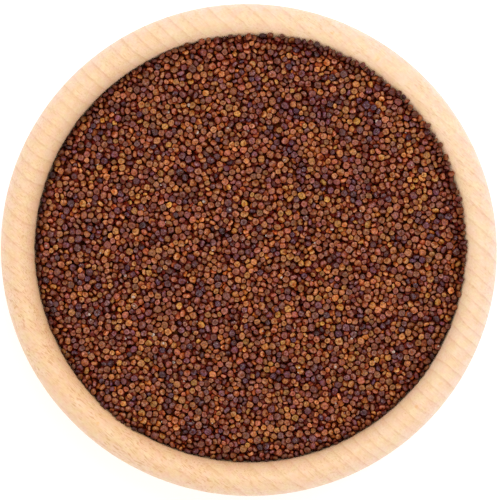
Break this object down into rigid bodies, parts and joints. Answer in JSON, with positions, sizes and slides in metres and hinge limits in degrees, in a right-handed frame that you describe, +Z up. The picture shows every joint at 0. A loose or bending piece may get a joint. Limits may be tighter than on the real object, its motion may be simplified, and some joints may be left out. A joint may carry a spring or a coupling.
{
  "type": "dish of quinoa",
  "caption": "Thick-lipped round turned wooden bowl, filled nearly level with dry red, brown and black quinoa seeds.",
  "frame": {"origin": "centre of the foot, on the surface that the bowl stands on", "axes": "+Z up along the bowl's turning axis; the heap of quinoa lies highest towards +X and +Y"},
  "size_m": [0.1406, 0.1394, 0.05],
  "materials": {
    "beech_wood": "smooth sanded bare pale beech, satin",
    "quinoa_seeds": "dull dry seed coats, mixed red-brown, amber and near-black"
  },
  "bodies": {
    "root": {"bowl": "beech_wood", "quinoa": "quinoa_seeds"}
  },
  "joints": []
}
